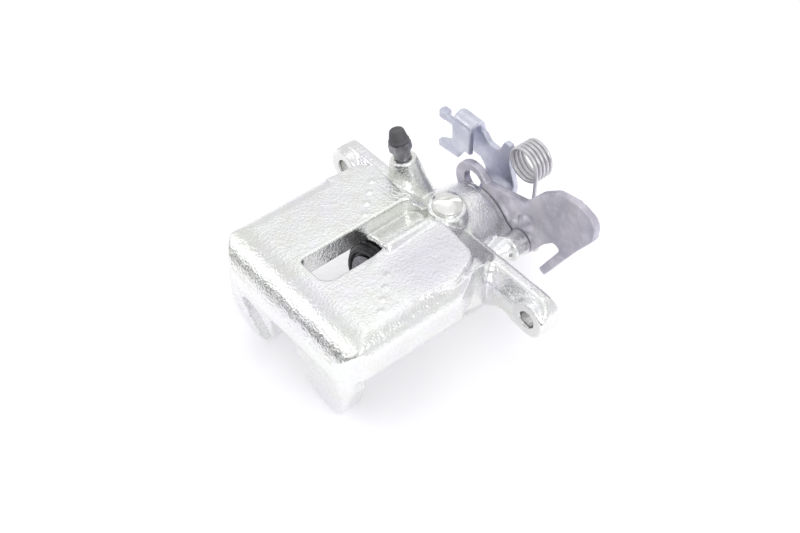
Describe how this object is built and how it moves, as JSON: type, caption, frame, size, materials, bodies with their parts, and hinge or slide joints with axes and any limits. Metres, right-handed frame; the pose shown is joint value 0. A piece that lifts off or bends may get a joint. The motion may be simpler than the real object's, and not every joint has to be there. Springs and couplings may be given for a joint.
{
  "type": "brake caliper",
  "caption": "Floating disc brake caliper with arched cast bridge, single piston, guide-pin ears and a spring-returned parking brake lever with cable bracket.",
  "frame": {"origin": "midway between the two guide-pin holes, on the ears' machined outboard face", "axes": "+X towards the cable-bracket side along the line of the guide-pin holes, +Y inboard along the guide-pin and piston axes, +Z away from the disc centre"},
  "size_m": [0.156, 0.1494, 0.0816],
  "materials": {
    "cast_zinc": "bright zinc plate over sand-cast iron",
    "piston_steel": "dark machined steel",
    "plain_steel": "machined steel",
    "spring_steel": "drawn wire",
    "bearing_steel": "polished",
    "black_rubber": "moulded rubber",
    "cap_rubber": "moulded rubber, matt",
    "bush_bronze": "sintered bronze",
    "lilac_steel": "zinc-nickel passivated pressed steel, lilac cast",
    "dark_lilac_steel": "zinc-nickel passivated pressed steel, darker",
    "zinc_fastener": "bright zinc plated",
    "dark_fastener": "dark plated"
  },
  "bodies": {
    "caliper": {"caliper_housing": "cast_zinc", "piston_seal": "black_rubber", "piston_boot": "black_rubber", "shaft_thrust_washer": "plain_steel", "shaft_bush": "bush_bronze", "shaft_seal": "black_rubber", "spring_cage": "plain_steel", "cage_circlip": "spring_steel", "push_rod_spring": "spring_steel", "anti_rotation_pin": "bearing_steel", "cable_bracket": "dark_lilac_steel", "bracket_bolts": "zinc_fastener", "port_plug": "zinc_fastener", "port_washer": "zinc_fastener", "lever_return_spring": "spring_steel"},
    "lever": {"parking_lever": "lilac_steel", "lever_shaft": "plain_steel", "lever_washer": "zinc_fastener", "lever_nut": "zinc_fastener"},
    "ball_set": {"ramp_balls": "bearing_steel", "ball_cage": "plain_steel"},
    "ramp_rod": {"push_rod": "plain_steel"},
    "piston_set": {"piston": "piston_steel", "adjuster_nut": "plain_steel", "adjuster_thrust_bearing": "plain_steel", "adjuster_spring": "spring_steel", "adjuster_spring_seat": "plain_steel", "adjuster_circlip": "spring_steel"},
    "bleeder": {"bleed_screw": "dark_fastener"},
    "bleeder_cap": {"bleed_cap": "cap_rubber"}
  },
  "joints": [
    {"name": "lever_swing", "type": "hinge", "parent": "caliper", "child": "lever", "pos_m": [0, 0.04, -0.008], "axis": [0, 1, 0], "range_deg": [0, 30], "stiffness_Nm_per_rad": 1.2, "springref_deg": -20.05, "deforming": ["lever_return_spring"]},
    {"name": "ball_roll", "type": "hinge", "parent": "caliper", "child": "ball_set", "pos_m": [0, 0.017, -0.008], "axis": [0, 1, 0], "range_deg": [0, 15.01]},
    {"name": "ramp_slide", "type": "slide", "parent": "caliper", "child": "ramp_rod", "axis": [0, -1, 0], "range_m": [0, 0.00121], "deforming": ["push_rod_spring"]},
    {"name": "piston_slide", "type": "slide", "parent": "ramp_rod", "child": "piston_set", "axis": [0, -1, 0], "range_m": [0, 0.016], "deforming": ["piston_boot"]},
    {"name": "bleed_screw_turn", "type": "hinge", "parent": "caliper", "child": "bleeder", "pos_m": [-0.0303, 0.008, 0.029], "axis": [-0.2536, -0.0483, 0.9661], "range_deg": [0, 360]},
    {"name": "bleed_cap_pull", "type": "slide", "parent": "bleeder", "child": "bleeder_cap", "axis": [-0.2536, -0.0483, 0.9661], "range_m": [0, 0.02]}
  ],
  "couplings": [
    {"joint": "ball_roll", "follows": "lever_swing", "ratio": 0.5},
    {"joint": "ramp_slide", "follows": "lever_swing", "m_per_rad": 0.0022918}
  ]
}
